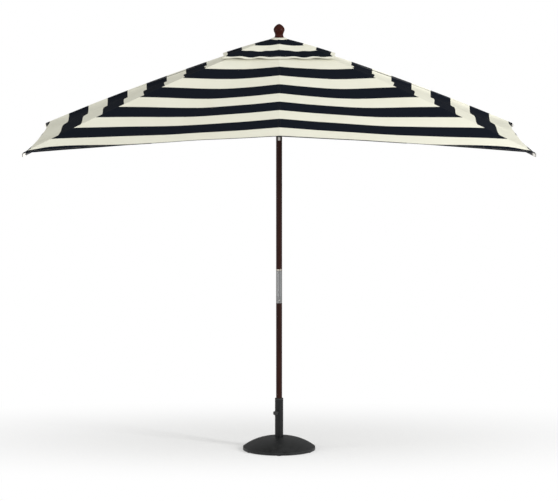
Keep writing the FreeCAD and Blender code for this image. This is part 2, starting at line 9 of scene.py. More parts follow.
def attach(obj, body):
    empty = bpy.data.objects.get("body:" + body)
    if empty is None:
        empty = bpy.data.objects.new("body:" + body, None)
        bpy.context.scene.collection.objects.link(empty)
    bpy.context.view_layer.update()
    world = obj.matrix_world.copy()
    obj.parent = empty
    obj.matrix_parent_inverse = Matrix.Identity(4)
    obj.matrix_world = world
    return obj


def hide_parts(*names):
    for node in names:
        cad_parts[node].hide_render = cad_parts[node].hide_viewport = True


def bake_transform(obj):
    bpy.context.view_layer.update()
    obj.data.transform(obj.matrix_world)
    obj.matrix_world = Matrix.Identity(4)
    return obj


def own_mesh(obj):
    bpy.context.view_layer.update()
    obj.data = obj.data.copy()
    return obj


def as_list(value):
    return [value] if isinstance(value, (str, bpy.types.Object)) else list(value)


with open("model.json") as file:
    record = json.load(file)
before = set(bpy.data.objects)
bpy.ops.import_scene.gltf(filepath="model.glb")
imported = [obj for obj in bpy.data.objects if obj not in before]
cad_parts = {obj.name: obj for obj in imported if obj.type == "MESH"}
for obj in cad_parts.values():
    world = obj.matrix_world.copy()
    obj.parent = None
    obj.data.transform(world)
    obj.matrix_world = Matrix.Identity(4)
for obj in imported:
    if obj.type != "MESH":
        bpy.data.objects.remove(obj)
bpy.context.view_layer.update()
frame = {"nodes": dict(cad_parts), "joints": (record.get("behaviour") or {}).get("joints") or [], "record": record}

# Sizes are in metres, in the frame's own axes. A share runs from 0 at the pole to 1 at the hem,
# unless the comment says otherwise.

# ---- the ribs' lines ----
CORNER = Vector((1.524, 0.990, 1.9795))    # rib tips, on top of the cloth
MID = Vector((0, 0.972, 2.077))
SIDE = Vector((1.480, 0, 1.998))
CORNER_ROOT, MID_ROOT, SIDE_ROOT = 2.584, 2.572, 2.581    # cloth height over the hub pins
CORNER_BEND, MID_BEND, SIDE_BEND = 0.050, 0.006, 0.048    # downward curvature of the ribs, 1/m

# ---- the main canopy. LONG is a gore on the front or back, SHORT one on the right or left ----
CLOTH = 0.0007
CANOPY_START = 0.16        # share where the main canopy starts, under the cap
LONG_SAG, SHORT_SAG = 0.014, 0.027
LONG_SAG_SKEW = 0.85       # moves the deepest sag towards the pole
SHORT_SAG_SKEW = 0.5       # moves the deepest sag towards the corner rib
SHORT_SAG_FULL = 0.35      # share of the canopy's length where the sag is complete
HEM_ZONE = 0.86            # share of the canopy's length where the hem's own shape begins
LONG_HEM_RISE, SHORT_HEM_RISE = 0.006, -0.006
LONG_HEM_BOW, SHORT_HEM_BOW = 0.002, 0.010      # as shares
RIPPLE, RIPPLE_SCALE, RIPPLE_LAYER, RIPPLE_FULL = 0.003, 3.1, 4.0, 0.25
HEM_FOLD, HEM_FOLD_DROP = 0.022, 0.0016
GORE_COLUMNS, GORE_ROWS, HEM_ROWS = 22, 46, 2

# ---- the vent cap ----
CAP_HEM = 0.2325           # share where the cap ends
CORNER_LIFT, SIDE_LIFT, MID_LIFT = 0.020, 0.019, 0.009    # cap hem above the main canopy
CAP_BULGE, CAP_SAG, CAP_SAG_SKEW = 0.003, 0.007, 1.3
CAP_WAVE, CAP_HALF_WAVES, CAP_WAVE_FULL = 0.0045, 5, 0.25
LONG_WAVE_PHASE, SHORT_WAVE_PHASE = 0.6, 2.0
CROWN_RADIUS, CROWN_EDGE_Z = 0.054, 2.592
CROWN_ROUND = 0.3          # share of the cap over which its outline leaves the crown's circle
GUSSET_SHARE = 0.25        # share of the cap that bends over the hub
CAP_ANCHOR = 0.2           # distance from the pole
CAP_COLUMNS, CAP_ROWS = 20, 22
GUSSET_COLUMNS, GUSSET_ROWS = 24, 10

# ---- the stripes ----
STRIPES = (0.1475, 0.3185, 0.4875, 0.656)   # middles of the dark stripes, as shares in from the hem
STRIPE_HALF = 0.0435
CAP_STRIPES = ((0.1540, 0.2155), (0.0, 0.1000))
# The stripes bow out towards the hem. _FULL and _START are ways across from the corner rib.
LONG_SHIFT, LONG_SHIFT_FULL = 0.024, 0.65
LONG_SHIFT_BACK, LONG_SHIFT_BACK_START = 0.004, 0.8
LONG_SHIFT_FROM, LONG_SHIFT_TO = 0.28, 0.62    # shares
SHORT_SHIFT, SHORT_SHIFT_START = 0.014, 0.55
HEM_EDGE = 0.004           # painted shade line along the hem's edge, as a share of the way in
# The dark band along the hem, deepest near the corner ribs, is painted shade of the hem's underside, not a woven
# stripe.
LONG_SLIVER, LONG_SLIVER_RISE, LONG_SLIVER_FULL = 0.017, 0.019, 0.07
LONG_SLIVER_FADE, LONG_SLIVER_END = 0.10, 0.50
SHORT_SLIVER, SHORT_SLIVER_END = 0.018, 0.7

# ---- weave and stitching ----
THREAD_PITCH = 0.0022
HEM_STITCH, HEM_STITCH_HALF, HEM_STITCH_PITCH = 0.013, 0.0006, 0.0056    # row, half width, length
RIB_STITCH, RIB_STITCH_HALF, RIB_STITCH_PITCH = 0.0062, 0.0005, 0.0052
RIB_STITCH_TONE = 0.12
STITCH_GAP = -0.45         # a stitch shows where its sine wave is above this
FELL_EDGE, FELL_END = 0.0075, 0.0090    # edge of the folded seam beside a rib

# ---- the sleeve ----
SLEEVE_BOTTOM, SLEEVE_MOUTH, SLEEVE_GROOVE_HALF = 0.935, 1.140, 0.0015
DIMPLE_PITCH, DIMPLE_ROWS, DIMPLES_ROUND = 0.0075, 5, 16
DIMPLE_FLAT, DIMPLE_RIM = 0.16, 0.26    # radii, as shares of the pitch

# ---- edges ----
BAR_EDGE, BAR_EDGE_ANGLE = 0.0012, 50
RIM_ANGLE = 50

# ---- camera, floor and light ----
SENSOR, LENS, FAR_CLIP = 36.0, 217.35, 200.0
CAMERA_PLACE, CAMERA_DIP = (-0.0006, -20.953, 3.9384), 0.126836
FLOOR_SIZE = 60.0
SHADOW_STRETCH, SHADOW_MIDDLE = (0.4, 1, 1), (0, 0.35, 0)    # the floor's painted shadow round the base, where its glow fades out
SHADOW_START, SHADOW_END, SHADOW_GLOW = 0.1, 1.5, 0.3
KEY, FILL, LOW = 940.0, 270.0, 18.0    # lamps, W
SKY_LEVEL, SKY_TOP, SKY_FRONT = 0.13, 0.62, 0.34


# ---- small tools for shaders ----

class Value:
    """A shader socket. Used in an expression, it adds the Math nodes that work it out."""

    def __init__(self, paint, socket):
        self.paint, self.socket = paint, socket

    def math(self, operation, *others):
        inputs = {n: v for n, v in enumerate((self,) + others)}
        return self.paint.node("ShaderNodeMath", {"operation": operation}, inputs)

    def reflected(self, operation, first):
        return self.paint.node("ShaderNodeMath", {"operation": operation}, {0: first, 1: self})

    def __add__(self, other): return self.math("ADD", other)
    def __radd__(self, other): return self.math("ADD", other)
    def __sub__(self, other): return self.math("SUBTRACT", other)
    def __rsub__(self, other): return self.reflected("SUBTRACT", other)
    def __mul__(self, other): return self.math("MULTIPLY", other)
    def __rmul__(self, other): return self.math("MULTIPLY", other)
    def __truediv__(self, other): return self.math("DIVIDE", other)
    def __rtruediv__(self, other): return self.reflected("DIVIDE", other)


class Paint:
    """A material with a Principled shader, and the few calls that build its nodes."""

    def __init__(self, name, **constants):
        self.material = bpy.data.materials.new(name)
        self.material.use_nodes = True
        self.tree = self.material.node_tree
        self.shader = self.tree.nodes["Principled BSDF"]
        for socket, value in constants.items():
            self.shader.inputs[socket.replace("_", " ")].default_value = value

    def node(self, kind, settings=None, inputs=None, output=0):
        made = self.tree.nodes.new(kind)
        for name, value in (settings or {}).items():
            if name == "stops":
                self.set_stops(made.color_ramp, value)
            else:
                setattr(made, name, value)
        for name, value in (inputs or {}).items():
            self.feed(made.inputs[name], value)
        return Value(self, made.outputs[output])

    def feed(self, socket, value):
        if isinstance(value, Value):
            self.tree.links.new(value.socket, socket)
        else:
            socket.default_value = value

    def set_stops(self, ramp, stops):
        while len(ramp.elements) < len(stops):
            ramp.elements.new(1.0)
        for element, (place, colour) in zip(ramp.elements, stops):
            element.position = place
            element.color = colour

    def set(self, **values):
        for name, value in values.items():
            self.feed(self.shader.inputs[name.replace("_", " ")], value)

    def coords(self, scale=(1, 1, 1)):
        """The piece's own coordinates, in metres, stretched by scale."""
        place = self.node("ShaderNodeTexCoord", output=3)
        return self.node("ShaderNodeMapping", inputs={0: place, 3: scale})

    def noise(self, vector, scale, detail=3.0, rough=0.55):
        return self.node("ShaderNodeTexNoise", inputs={0: vector, 2: scale, 3: detail, 4: rough})

    def mix(self, factor, first, second):
        settings = {"data_type": "RGBA"}
        return self.node("ShaderNodeMix", settings, {0: factor, 6: first, 7: second}, 2)

    def ramp(self, value, *stops):
        return self.node("ShaderNodeValToRGB", {"stops": stops}, {0: value})

    def fit(self, value, low, high, to_low, to_high, smooth=False):
        settings = {"interpolation_type": "SMOOTHSTEP" if smooth else "LINEAR", "clamp": True}
        inputs = {0: value, 1: low, 2: high, 3: to_low, 4: to_high}
        return self.node("ShaderNodeMapRange", settings, inputs)

    def bump(self, height, distance, strength=1.0):
        self.set(Normal=self.node("ShaderNodeBump", inputs={0: strength, 1: distance, 3: height}))


def rgb(*levels):
    """A colour given as 8-bit sRGB values, as linear light."""
    def linear(c):
        return ((c / 255 + 0.055) / 1.055) ** 2.4 if c > 10 else c / 255 / 12.92

    return tuple(linear(c) for c in levels) + (1.0,)


def scaled(colour, times, plus=0.0):
    return tuple(min(1.0, c * times + plus) for c in colour[:3]) + (1.0,)


# ---- materials ----

BLACK = (0.0, 0.0, 0.0, 1.0)
CREAM, SOILED_CREAM = rgb(226, 225, 209), rgb(220, 218, 200)
NAVY, NAVY_THREAD = rgb(14, 18, 25), rgb(21, 26, 35)
STITCH_THREAD = rgb(206, 203, 187)


def stitch_run(along, pitch):
    """1 on a stitch and 0 between two, along a row."""
    return (along * (2 * math.pi / pitch)).math("SINE").math("GREATER_THAN", STITCH_GAP)


def canvas(name, dark_bands, sliver):
    """Woven acrylic canvas with dark stripes at set shares of the way from the pole to the hem."""
    paint = Paint(name, Roughness=0.9, Specular_IOR_Level=0.04)

    def attribute(key):
        return paint.node("ShaderNodeAttribute", {"attribute_name": key}, output=2)

    rise = attribute("rise")
    dark = 0.0
    for low, high in dark_bands:
        dark = rise.math("COMPARE", (low + high) / 2, (high - low) / 2) + dark
    # Painted shade: a dark band along the hem, where its underside is in shade.
    if sliver:
        dark = dark + (rise + attribute("sliver")).math("GREATER_THAN", 1.0)
    uv = paint.node("ShaderNodeUVMap", {"uv_map": "weave"})
    along = paint.node("ShaderNodeSeparateXYZ", inputs={0: uv})
    across = Value(paint, along.socket.node.outputs[1])

    def slubs(scale):
        return paint.noise(paint.node("ShaderNodeMapping", inputs={0: uv, 3: scale}), 1.0, 2.0)

    thread = 2 * math.pi / THREAD_PITCH
    weave = (along * thread).math("SINE") * (across * thread).math("SINE")
    slub = slubs((18.0, 900.0, 1.0)) * 0.5 + slubs((900.0, 18.0, 1.0)) * 0.5
    soil = paint.noise(uv, 3.2, 4.0, 0.6)
    cream = paint.mix(paint.fit(soil, 0.35, 0.7, 0.0, 0.5, True), CREAM, SOILED_CREAM)
    navy = paint.mix(paint.fit(slub, 0.3, 0.7, 0.0, 1.0), NAVY, NAVY_THREAD)
    colour = paint.mix(dark.math("MINIMUM", 1.0), cream, navy)
    shade = paint.fit(slub, 0.3, 0.7, 0.95, 1.0)

    from_rib = attribute("seam")
    hem_row = across.math("COMPARE", HEM_STITCH, HEM_STITCH_HALF)
    rib_row = from_rib.math("COMPARE", RIB_STITCH, RIB_STITCH_HALF)
    hem_stitches = hem_row * stitch_run(along, HEM_STITCH_PITCH)
    rib_stitches = rib_row * stitch_run(across, RIB_STITCH_PITCH) * RIB_STITCH_TONE
    stitches = hem_stitches.math("MAXIMUM", rib_stitches)
    felled = paint.fit(from_rib, FELL_EDGE, FELL_END, 1.0, 0.0, True)

    cloth = paint.mix(shade, BLACK, colour)
    paint.set(Base_Color=paint.mix(stitches * 0.5, cloth, STITCH_THREAD))
    paint.set(Roughness=paint.fit(slub, 0.3, 0.7, 0.92, 0.8))
    height = weave * 0.00018 + slub * 0.0003 + stitches * 0.0005 + felled * 0.0007
    paint.bump(height, 1.0, 0.6)
    return paint.material


def stained_wood(name, dark, light, length=0.6, gloss=0.42):
    """Stained and varnished hardwood, with its grain and pores along Z."""
    paint = Paint(name, Specular_IOR_Level=0.08, Coat_Roughness=0.3, Coat_Weight=0.02)
    grain = paint.noise(paint.coords((130.0, 130.0, 130.0 * 0.035 / length)), 1.0, 5.0, 0.62)
    pores = paint.noise(paint.coords((900.0, 900.0, 18.0)), 1.0, 2.0, 0.5)
    figure = paint.noise(paint.coords((26.0, 26.0, 1.4)), 1.0, 3.0, 0.5)
    tone = grain * 0.55 + figure * 0.45
    colour = paint.ramp(tone, (0.34, dark), (0.5, light), (0.66, dark))
    pore = paint.fit(pores, 0.34, 0.42, 1.0, 0.0)
    paint.set(Base_Color=paint.mix(pore * 0.55, colour, scaled(dark, 0.3)))
    paint.set(Roughness=paint.fit(grain, 0.3, 0.7, gloss - 0.06, gloss + 0.1))
    paint.bump(grain * 0.0002 - pore * 0.0003, 1.0, 0.45)
    return paint.material


def powder_coat(name, colour, rough=0.5, wear=0.0, pitch=900.0):
    """Powder-coated metal with a fine orange-peel surface."""
    paint = Paint(name, Specular_IOR_Level=0.24)
    peel = paint.noise(paint.coords(), pitch, 2.0, 0.5)
    cloud = paint.noise(paint.coords(), 14.0, 4.0, 0.6)
    dust = paint.fit(cloud, 0.42, 0.72, 0.0, 0.6 + wear, True)
    paint.set(Base_Color=paint.mix(dust, colour, scaled(colour, 1.7, 0.004)))
    paint.set(Roughness=paint.fit(cloud, 0.35, 0.7, rough - 0.06, rough + 0.12))
    paint.bump(peel * 0.0003, 1.0, 0.35)
    return paint.material


def moulded(name, colour, rough=0.55):
    """Moulded nylon with a fine spark-eroded grain."""
    paint = Paint(name, Specular_IOR_Level=0.42)
    grain = paint.noise(paint.coords(), 1400.0, 1.0)
    patch = paint.noise(paint.coords(), 40.0, 3.0)
    worn = paint.fit(patch, 0.4, 0.75, 0.0, 0.7)
    paint.set(Base_Color=paint.mix(worn, colour, scaled(colour, 1.5, 0.003)))
    paint.set(Roughness=paint.fit(patch, 0.3, 0.7, rough - 0.05, rough + 0.08))
    paint.bump(grain * 0.0002, 1.0, 0.4)
    return paint.material


def brushed_paint(name, colour, rough, lines=(8.0, 8.0, 2600.0)):
    """Brushed metal. lines stretches the brush marks: here they run round the Z axis."""
    paint = Paint(name, Metallic=1.0, Specular_IOR_Level=0.5)
    marks = paint.noise(paint.coords(lines), 1.0, 3.0, 0.6)
    smear = paint.noise(paint.coords((30.0, 30.0, 6.0)), 1.0, 3.0)
    tone = paint.fit(marks, 0.3, 0.7, 0.0, 1.0)
    paint.set(Base_Color=paint.mix(tone, colour, scaled(colour, 0.78)))
    worn = marks * 0.6 + smear * 0.4
    paint.set(Roughness=paint.fit(worn, 0.3, 0.7, rough - 0.08, rough + 0.12))
    paint.bump(marks * 0.0001, 1.0, 0.5)
    return paint


def dimpled_sleeve(name):
    """Brushed steel tube with rows of small punched dimples above its lower end. The dimples and the groove at the
    mouth are painted dark grey: painted shade in the recesses.
    """
    paint = brushed_paint(name, rgb(134, 134, 134), 0.3)
    parts = paint.node("ShaderNodeSeparateXYZ", inputs={0: paint.coords()})
    x, y, z = (Value(paint, parts.socket.node.outputs[n]) for n in range(3))
    row = (z - SLEEVE_BOTTOM) / DIMPLE_PITCH
    turn = y.math("ARCTAN2", x) * (DIMPLES_ROUND / (2 * math.pi)) + row.math("FLOOR") * 0.5
    across, up = turn.math("FRACT") - 0.5, row.math("FRACT") - 0.5
    off = (across * across + up * up).math("SQRT")
    inside = row.math("GREATER_THAN", 1.0) * row.math("LESS_THAN", 1.0 + DIMPLE_ROWS)
    dimple = paint.fit(off, DIMPLE_FLAT, DIMPLE_RIM, 1.0, 0.0, True) * inside
    tone = Value(paint, paint.shader.inputs["Base Color"].links[0].from_socket)
    mouth = z.math("GREATER_THAN", SLEEVE_MOUTH + SLEEVE_GROOVE_HALF)
    groove = z.math("COMPARE", SLEEVE_MOUTH, SLEEVE_GROOVE_HALF)
    tone = paint.mix(mouth, tone, rgb(176, 170, 160))
    # Painted shade: the dimples and the groove are coloured dark grey.
    paint.set(Base_Color=paint.mix(dimple.math("MAXIMUM", groove) * 0.8, tone, rgb(38, 38, 38)))
    paint.bump(dimple * -0.0008, 1.0, 0.6)
    return paint.material


def fibreglass(name):
    """Pultruded bar: satin black with faint fibres."""
    paint = Paint(name, Specular_IOR_Level=0.5)
    fibres = paint.noise(paint.coords((700.0, 700.0, 700.0)), 1.0, 3.0, 0.7)
    shine = paint.fit(fibres, 0.4, 0.7, 0.0, 1.0)
    paint.set(Base_Color=paint.mix(shine, rgb(24, 24, 26), rgb(38, 38, 41)))
    paint.set(Roughness=paint.fit(fibres, 0.3, 0.7, 0.36, 0.52))
    paint.bump(fibres * 0.0002, 1.0, 0.3)
    return paint.material


def black_rubber(name):
    """Rubber with a faint grey bloom."""
    paint = Paint(name, Specular_IOR_Level=0.3)
    bloom = paint.noise(paint.coords(), 60.0, 4.0)
    grey = paint.fit(bloom, 0.4, 0.7, 0.0, 1.0)
    paint.set(Base_Color=paint.mix(grey, rgb(22, 22, 22), rgb(36, 36, 35)))
    paint.set(Roughness=paint.fit(bloom, 0.3, 0.7, 0.72, 0.9))
    paint.bump(bloom * 0.0004, 1.0, 0.3)
    return paint.material


MAIN_BANDS = [(1 - s - STRIPE_HALF, 1 - s + STRIPE_HALF) for s in STRIPES]
MAIN_CANVAS = canvas("canopy_canvas", MAIN_BANDS, sliver=True)
CAP_CANVAS = canvas("vent_canvas", CAP_STRIPES, sliver=False)
POLE_WOOD = stained_wood("pole_stain", rgb(28, 12, 8), rgb(46, 22, 16))
FINIAL_WOOD = stained_wood("finial_stain", rgb(28, 10, 6), rgb(58, 23, 15), length=0.1)
BASE_COAT = powder_coat("base_coat", rgb(24, 25, 26), rough=0.44, wear=0.2, pitch=420.0)
STEM_COAT = powder_coat("stem_coat", rgb(12, 12, 13), rough=0.46)
STRUT_COAT = powder_coat("strut_coat", rgb(34, 34, 35), rough=0.48)
BLACK_NYLON = moulded("black_nylon", rgb(27, 27, 28))
SLEEVE_STEEL = dimpled_sleeve("sleeve_steel")
PLATED_STEEL = brushed_paint("plated_steel", rgb(186, 184, 178), 0.36, (400.0,) * 3).material
RIB_BAR = fibreglass("rib_bar")
PAD_RUBBER = black_rubber("pad_rubber")

FINISHES = {
    "base_iron": BASE_COAT, "pads": PAD_RUBBER, "stem": STEM_COAT, "steel": PLATED_STEEL,
    "black_plastic": BLACK_NYLON, "pole_wood": POLE_WOOD, "finial_wood": FINIAL_WOOD,
    "sleeve_steel": SLEEVE_STEEL, "rib_fibreglass": RIB_BAR, "strut_metal": STRUT_COAT,
    "canvas": MAIN_CANVAS,
}


def ease_edges(piece):
    """A small rounding on a bar's long edges."""
    bevel = piece.modifiers.new("eased", "BEVEL")
    bevel.width = BAR_EDGE
    bevel.segments = 2
    bevel.limit_method = "ANGLE"
    bevel.angle_limit = math.radians(BAR_EDGE_ANGLE)
    bevel.harden_normals = True


def finish_cad_nodes():
    """Every carried-over piece gets its finish from the record's slot."""
    for part in frame["record"]["subparts"]:
        piece = frame["nodes"][part["node"]]
        piece.data.materials.clear()
        piece.data.materials.append(FINISHES[part["material_slot"]])
        if part["node"].startswith(("rib_", "strut_")):
            ease_edges(piece)


# ---- the ribs' lines ----

class Rib:
    """One rib: its plan direction, its tip and the line of the cloth above it."""

    def __init__(self, name, tip, root_z, bend, lift):
        joint = next(j for j in frame["joints"] if j["child"] == "rib_" + name)
        self.name, self.joint = name, joint["name"]
        self.pivot = Vector(joint["pos_m"])
        self.axis = Vector(joint["axis"])
        self.out = self.axis.cross(Vector((0, 0, 1)))
        self.tip = tip
        self.reach = tip.xy.length
        self.start = self.pivot.xy.length
        run = self.reach - self.start
        self.root_z, self.bend, self.lift = root_z, bend, lift
        self.slope = (root_z - tip.z) / run - bend * run / 2

    def line(self, share):
        """The cloth's point over the rib, at a share of the way from the pole to the tip."""
        r = share * self.reach
        d = r - self.start
        return self.out * r + Vector((0, 0, self.root_z - self.slope * d - self.bend * d * d / 2))

    def cap(self, r):
        """The vent cap's point over the rib, r out from the pole."""
        share = (r - CROWN_RADIUS) / (CAP_HEM * self.reach - CROWN_RADIUS)
        z = CROWN_EDGE_Z + (self.line(CAP_HEM).z + self.lift - CROWN_EDGE_Z) * share
        bulge = CAP_BULGE * math.sin(math.pi * min(max(share, 0), 1))
        return self.out * r + Vector((0, 0, z + bulge))

    def cap_reach(self, share):
        """How far out from the pole a share of the cap is: 0 at the crown's edge, 1 at its hem."""
        return CROWN_RADIUS + (CAP_HEM * self.reach - CROWN_RADIUS) * share


def make_ribs():
    corner = (CORNER_ROOT, CORNER_BEND, CORNER_LIFT)
    mid, side = (MID_ROOT, MID_BEND, MID_LIFT), (SIDE_ROOT, SIDE_BEND, SIDE_LIFT)

    def tip(where, x, y):
        return Vector((where.x * x, where.y * y, where.z))

    return [Rib("front", tip(MID, 0, -1), *mid), Rib("front_right", tip(CORNER, 1, -1), *corner),
            Rib("right", tip(SIDE, 1, 0), *side), Rib("back_right", tip(CORNER, 1, 1), *corner),
            Rib("back", tip(MID, 0, 1), *mid), Rib("back_left", tip(CORNER, -1, 1), *corner),
            Rib("left", tip(SIDE, -1, 0), *side), Rib("front_left", tip(CORNER, -1, -1), *corner)]


RIBS = make_ribs()


# ---- cloth ----

def smooth(x, low, high):
    """A soft step from 0 at low to 1 at high."""
    x = min(max((x - low) / (high - low), 0.0), 1.0)
    return x * x * (3 - 2 * x)


class Gore:
    """The cloth between two neighbouring ribs. w runs from 0 at rib a to 1 at rib b."""

    def __init__(self, a, b):
        self.a, self.b = a, b
        self.long_side = "front" in (a.name, b.name) or "back" in (a.name, b.name)
        self.hem_rise = LONG_HEM_RISE if self.long_side else SHORT_HEM_RISE
        self.hem_bow = LONG_HEM_BOW if self.long_side else SHORT_HEM_BOW
        self.wave_phase = LONG_WAVE_PHASE if self.long_side else SHORT_WAVE_PHASE
        self.hem = (b.tip - a.tip).normalized()

    def end(self, w):
        """The hem, as a share of the way to the straight line between the tips."""
        return 1.0 - self.hem_bow * math.sin(math.pi * w)

    def from_corner(self, w):
        """The way across the gore, from 0 at its corner rib to 1 at its middle rib."""
        return w if "_" in self.a.name else 1 - w

    def point(self, w, t):
        """The cloth's point at w across the gore and a share t of the way out to the hem."""
        s = (t - CANOPY_START) / (1 - CANOPY_START)
        flat = self.a.line(t).lerp(self.b.line(t), w)
        near_hem = smooth(s, HEM_ZONE, 1.0)
        if self.long_side:
            across = math.sin(math.pi * w)
            dip = LONG_SAG * math.sin(math.pi * min(s, 1.0) ** LONG_SAG_SKEW)
        else:
            skewed = self.from_corner(w) ** SHORT_SAG_SKEW
            across = math.sin(math.pi * skewed) if 0 < w < 1 else 0.0
            dip = SHORT_SAG * smooth(s, 0.0, SHORT_SAG_FULL) * (1 - near_hem)
        dip = (dip - self.hem_rise * near_hem) * across
        spot = Vector((flat.x * RIPPLE_SCALE, flat.y * RIPPLE_SCALE, RIPPLE_LAYER))
        ripple = noise.noise(spot) * RIPPLE * across * smooth(s, 0.0, RIPPLE_FULL)
        return flat - Vector((0, 0, dip + ripple))

    def pattern_shift(self, w, t):
        """How far the woven stripes bow out towards the hem, past the middle of the gore."""
        c = self.from_corner(w)
        if self.long_side:
            bow = LONG_SHIFT * smooth(c, 0.0, LONG_SHIFT_FULL)
            back = LONG_SHIFT_BACK * smooth(c, LONG_SHIFT_BACK_START, 1.0)
            return (bow - back) * smooth(t, LONG_SHIFT_FROM, LONG_SHIFT_TO)
        return SHORT_SHIFT * smooth(c, SHORT_SHIFT_START, 1.0)

    def sliver(self, w):
        """How far in from a straight hem the painted shade of the hem's underside reaches, deepest near the corner
        rib.
        """
        c = self.from_corner(w)
        if self.long_side:
            depth = LONG_SLIVER + LONG_SLIVER_RISE * smooth(c, 0.0, LONG_SLIVER_FULL)
            fade = 1 - smooth(c, LONG_SLIVER_FADE, LONG_SLIVER_END)
            return max(depth * fade, HEM_EDGE)
        return max(SHORT_SLIVER * (1 - smooth(c, 0.0, SHORT_SLIVER_END)), HEM_EDGE)

    def cap_point(self, w, share):
        """A point on the vent cap. share runs from 0 at the crown's edge to 1 at the cap's hem."""
        on_a, on_b = (rib.cap(rib.cap_reach(share)) for rib in (self.a, self.b))
        flat = on_a.lerp(on_b, w)
        across = math.sin(math.pi * w)
        wave = math.sin(math.pi * CAP_HALF_WAVES * w + self.wave_phase)
        loose = smooth(share, CAP_WAVE_FULL, 1.0)
        dip = CAP_SAG * across * math.sin(math.pi * share ** CAP_SAG_SKEW)
        dip += CAP_WAVE * across * loose * wave
        reach = flat.xy.length
        if share < CROWN_ROUND:
            circle = CROWN_RADIUS + (reach - CROWN_RADIUS) * smooth(share, 0.0, CROWN_ROUND)
            flat.xy = flat.xy * (max(circle, reach) / reach)
        return flat - Vector((0, 0, dip))

    def cap_values(self, w, share):
        """The cap's attributes: its stripes go by the share of the way out to the main hem."""
        rise_a, rise_b = (rib.cap_reach(share) / rib.reach for rib in (self.a, self.b))
        return {"rise": rise_a * (1 - w) + rise_b * w, "sliver": 0.0, "seam": 1.0}


GORES = [Gore(RIBS[n], RIBS[(n + 1) % 8]) for n in range(8)]


def cloth_piece(name, columns, rows, place, values, flat_axes):
    """A piece of cloth from a grid. place(u, v) gives a point and values(u, v) its attributes.
    flat_axes holds the origin and the two directions of the piece laid flat."""
    bm = bmesh.new()
    bmesh.ops.create_grid(bm, x_segments=columns, y_segments=rows, size=0.5)
    layers = {key: bm.verts.layers.float.new(key) for key in values(0, 0)}
    for vert in bm.verts:
        u, v = vert.co.x + 0.5, vert.co.y + 0.5
        for key, value in values(u, v).items():
            vert[layers[key]] = value
        vert.co = place(u, v)
    origin, along, inward = flat_axes
    uv = bm.loops.layers.uv.new("weave")
    for face in bm.faces:
        for loop in face.loops:
            offset = loop.vert.co - origin
            loop[uv].uv = (offset.dot(along), offset.dot(inward))
    bm.normal_update()
    area = sum(face.calc_area() for face in bm.faces)
    spots = [loop[uv].uv for face in bm.faces for loop in face.loops]
    flat = tuple(max(spot[n] for spot in spots) - min(spot[n] for spot in spots) for n in (0, 1))
    bmesh.ops.solidify(bm, geom=bm.faces[:], thickness=CLOTH)
    for edge in bm.edges:
        two_sided = len(edge.link_faces) == 2
        edge.smooth = two_sided and edge.calc_face_angle() < math.radians(RIM_ANGLE)
    for face in bm.faces:
        face.smooth = True
    mesh = bpy.data.meshes.new(name)
    bm.to_mesh(mesh)
    bm.free()
    piece = bpy.data.objects.new(name, mesh)
    bpy.context.scene.collection.objects.link(piece)
    return piece, flat, min(area, flat[0] * flat[1])


def finish_cloth(piece, flat, area, material, rests_on):
    piece.data.materials.append(material)
    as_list(rests_on)


def across_from(direction, ridge):
    """The part of a direction that is square to the ridge, at unit length."""
    return (direction - ridge * direction.dot(ridge)).normalized()


def half_gore(gore, own):
    """Half of a gore, carried by its own rib.
    own is 0 for the half on rib a and 1 for the half on rib b."""
    rib = gore.b if own else gore.a
    total = GORE_ROWS + HEM_ROWS

    def split(u, v):
        w = 1 - u * 0.5 if own else u * 0.5
        row = v * total
        t = CANOPY_START + (gore.end(w) - CANOPY_START) * min(row / GORE_ROWS, 1.0)
        return w, t, max(row - GORE_ROWS, 0.0)

    def place(u, v):
        w, t, fold = split(u, v)
        if fold > 0.5:
            t -= (fold - 1) * HEM_FOLD / rib.reach
        return gore.point(w, t) - Vector((0, 0, HEM_FOLD_DROP * min(fold, 1.0)))

    def values(u, v):
        w, t, _ = split(u, v)
        shift = gore.pattern_shift(w, t)
        seam = abs(w - own) * (gore.b.line(t) - gore.a.line(t)).length
        return {"rise": t - shift, "sliver": gore.sliver(w) + shift, "seam": seam}

    name = "gore_%s_%s" % (rib.name, "ab"[own])
    inward = across_from(rib.line(CANOPY_START) - rib.tip, gore.hem)
    made = cloth_piece(name, GORE_COLUMNS, total, place, values, (gore.a.tip, gore.hem, inward))
    finish_cloth(*made, MAIN_CANVAS, ["rib_" + rib.name])
    piece = made[0]
    ridge = (rib.tip - rib.line(CANOPY_START)).normalized()
    side = across_from(gore.point(0.5, 0.9) - rib.line(0.9), ridge)
    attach(piece, "rib_" + rib.name)
    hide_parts("canopy_" + rib.name)
    rib.line(0.5)
    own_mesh(piece)


def cap_half(gore, own):
    """Half a gore of the vent cap, past the cloth that bends over the hub."""
    rib = gore.b if own else gore.a

    def split(u, v):
        w = 1 - u * 0.5 if own else u * 0.5
        return w, GUSSET_SHARE + (1 - GUSSET_SHARE) * v

    def place(u, v):
        return gore.cap_point(*split(u, v))

    def values(u, v):
        return gore.cap_values(*split(u, v))

    name = "cap_%s_%s" % (rib.name, "ab"[own])
    ridge = (rib.cap(rib.cap_reach(1)) - rib.cap(CROWN_RADIUS)).normalized()
    inward = across_from(-ridge, gore.hem)
    corner = gore.a.cap(gore.a.cap_reach(1))
    made = cloth_piece(name, CAP_COLUMNS, CAP_ROWS, place, values, (corner, gore.hem, inward))
    finish_cloth(*made, CAP_CANVAS, ["canopy_" + rib.name])
    piece = made[0]
    side = across_from(gore.cap_point(0.5, 0.9) - gore.cap_point(own, 0.9), ridge)
    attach(piece, "rib_" + rib.name)
    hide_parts("vent_" + rib.name)
    rib.cap(CAP_ANCHOR)
    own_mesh(piece)


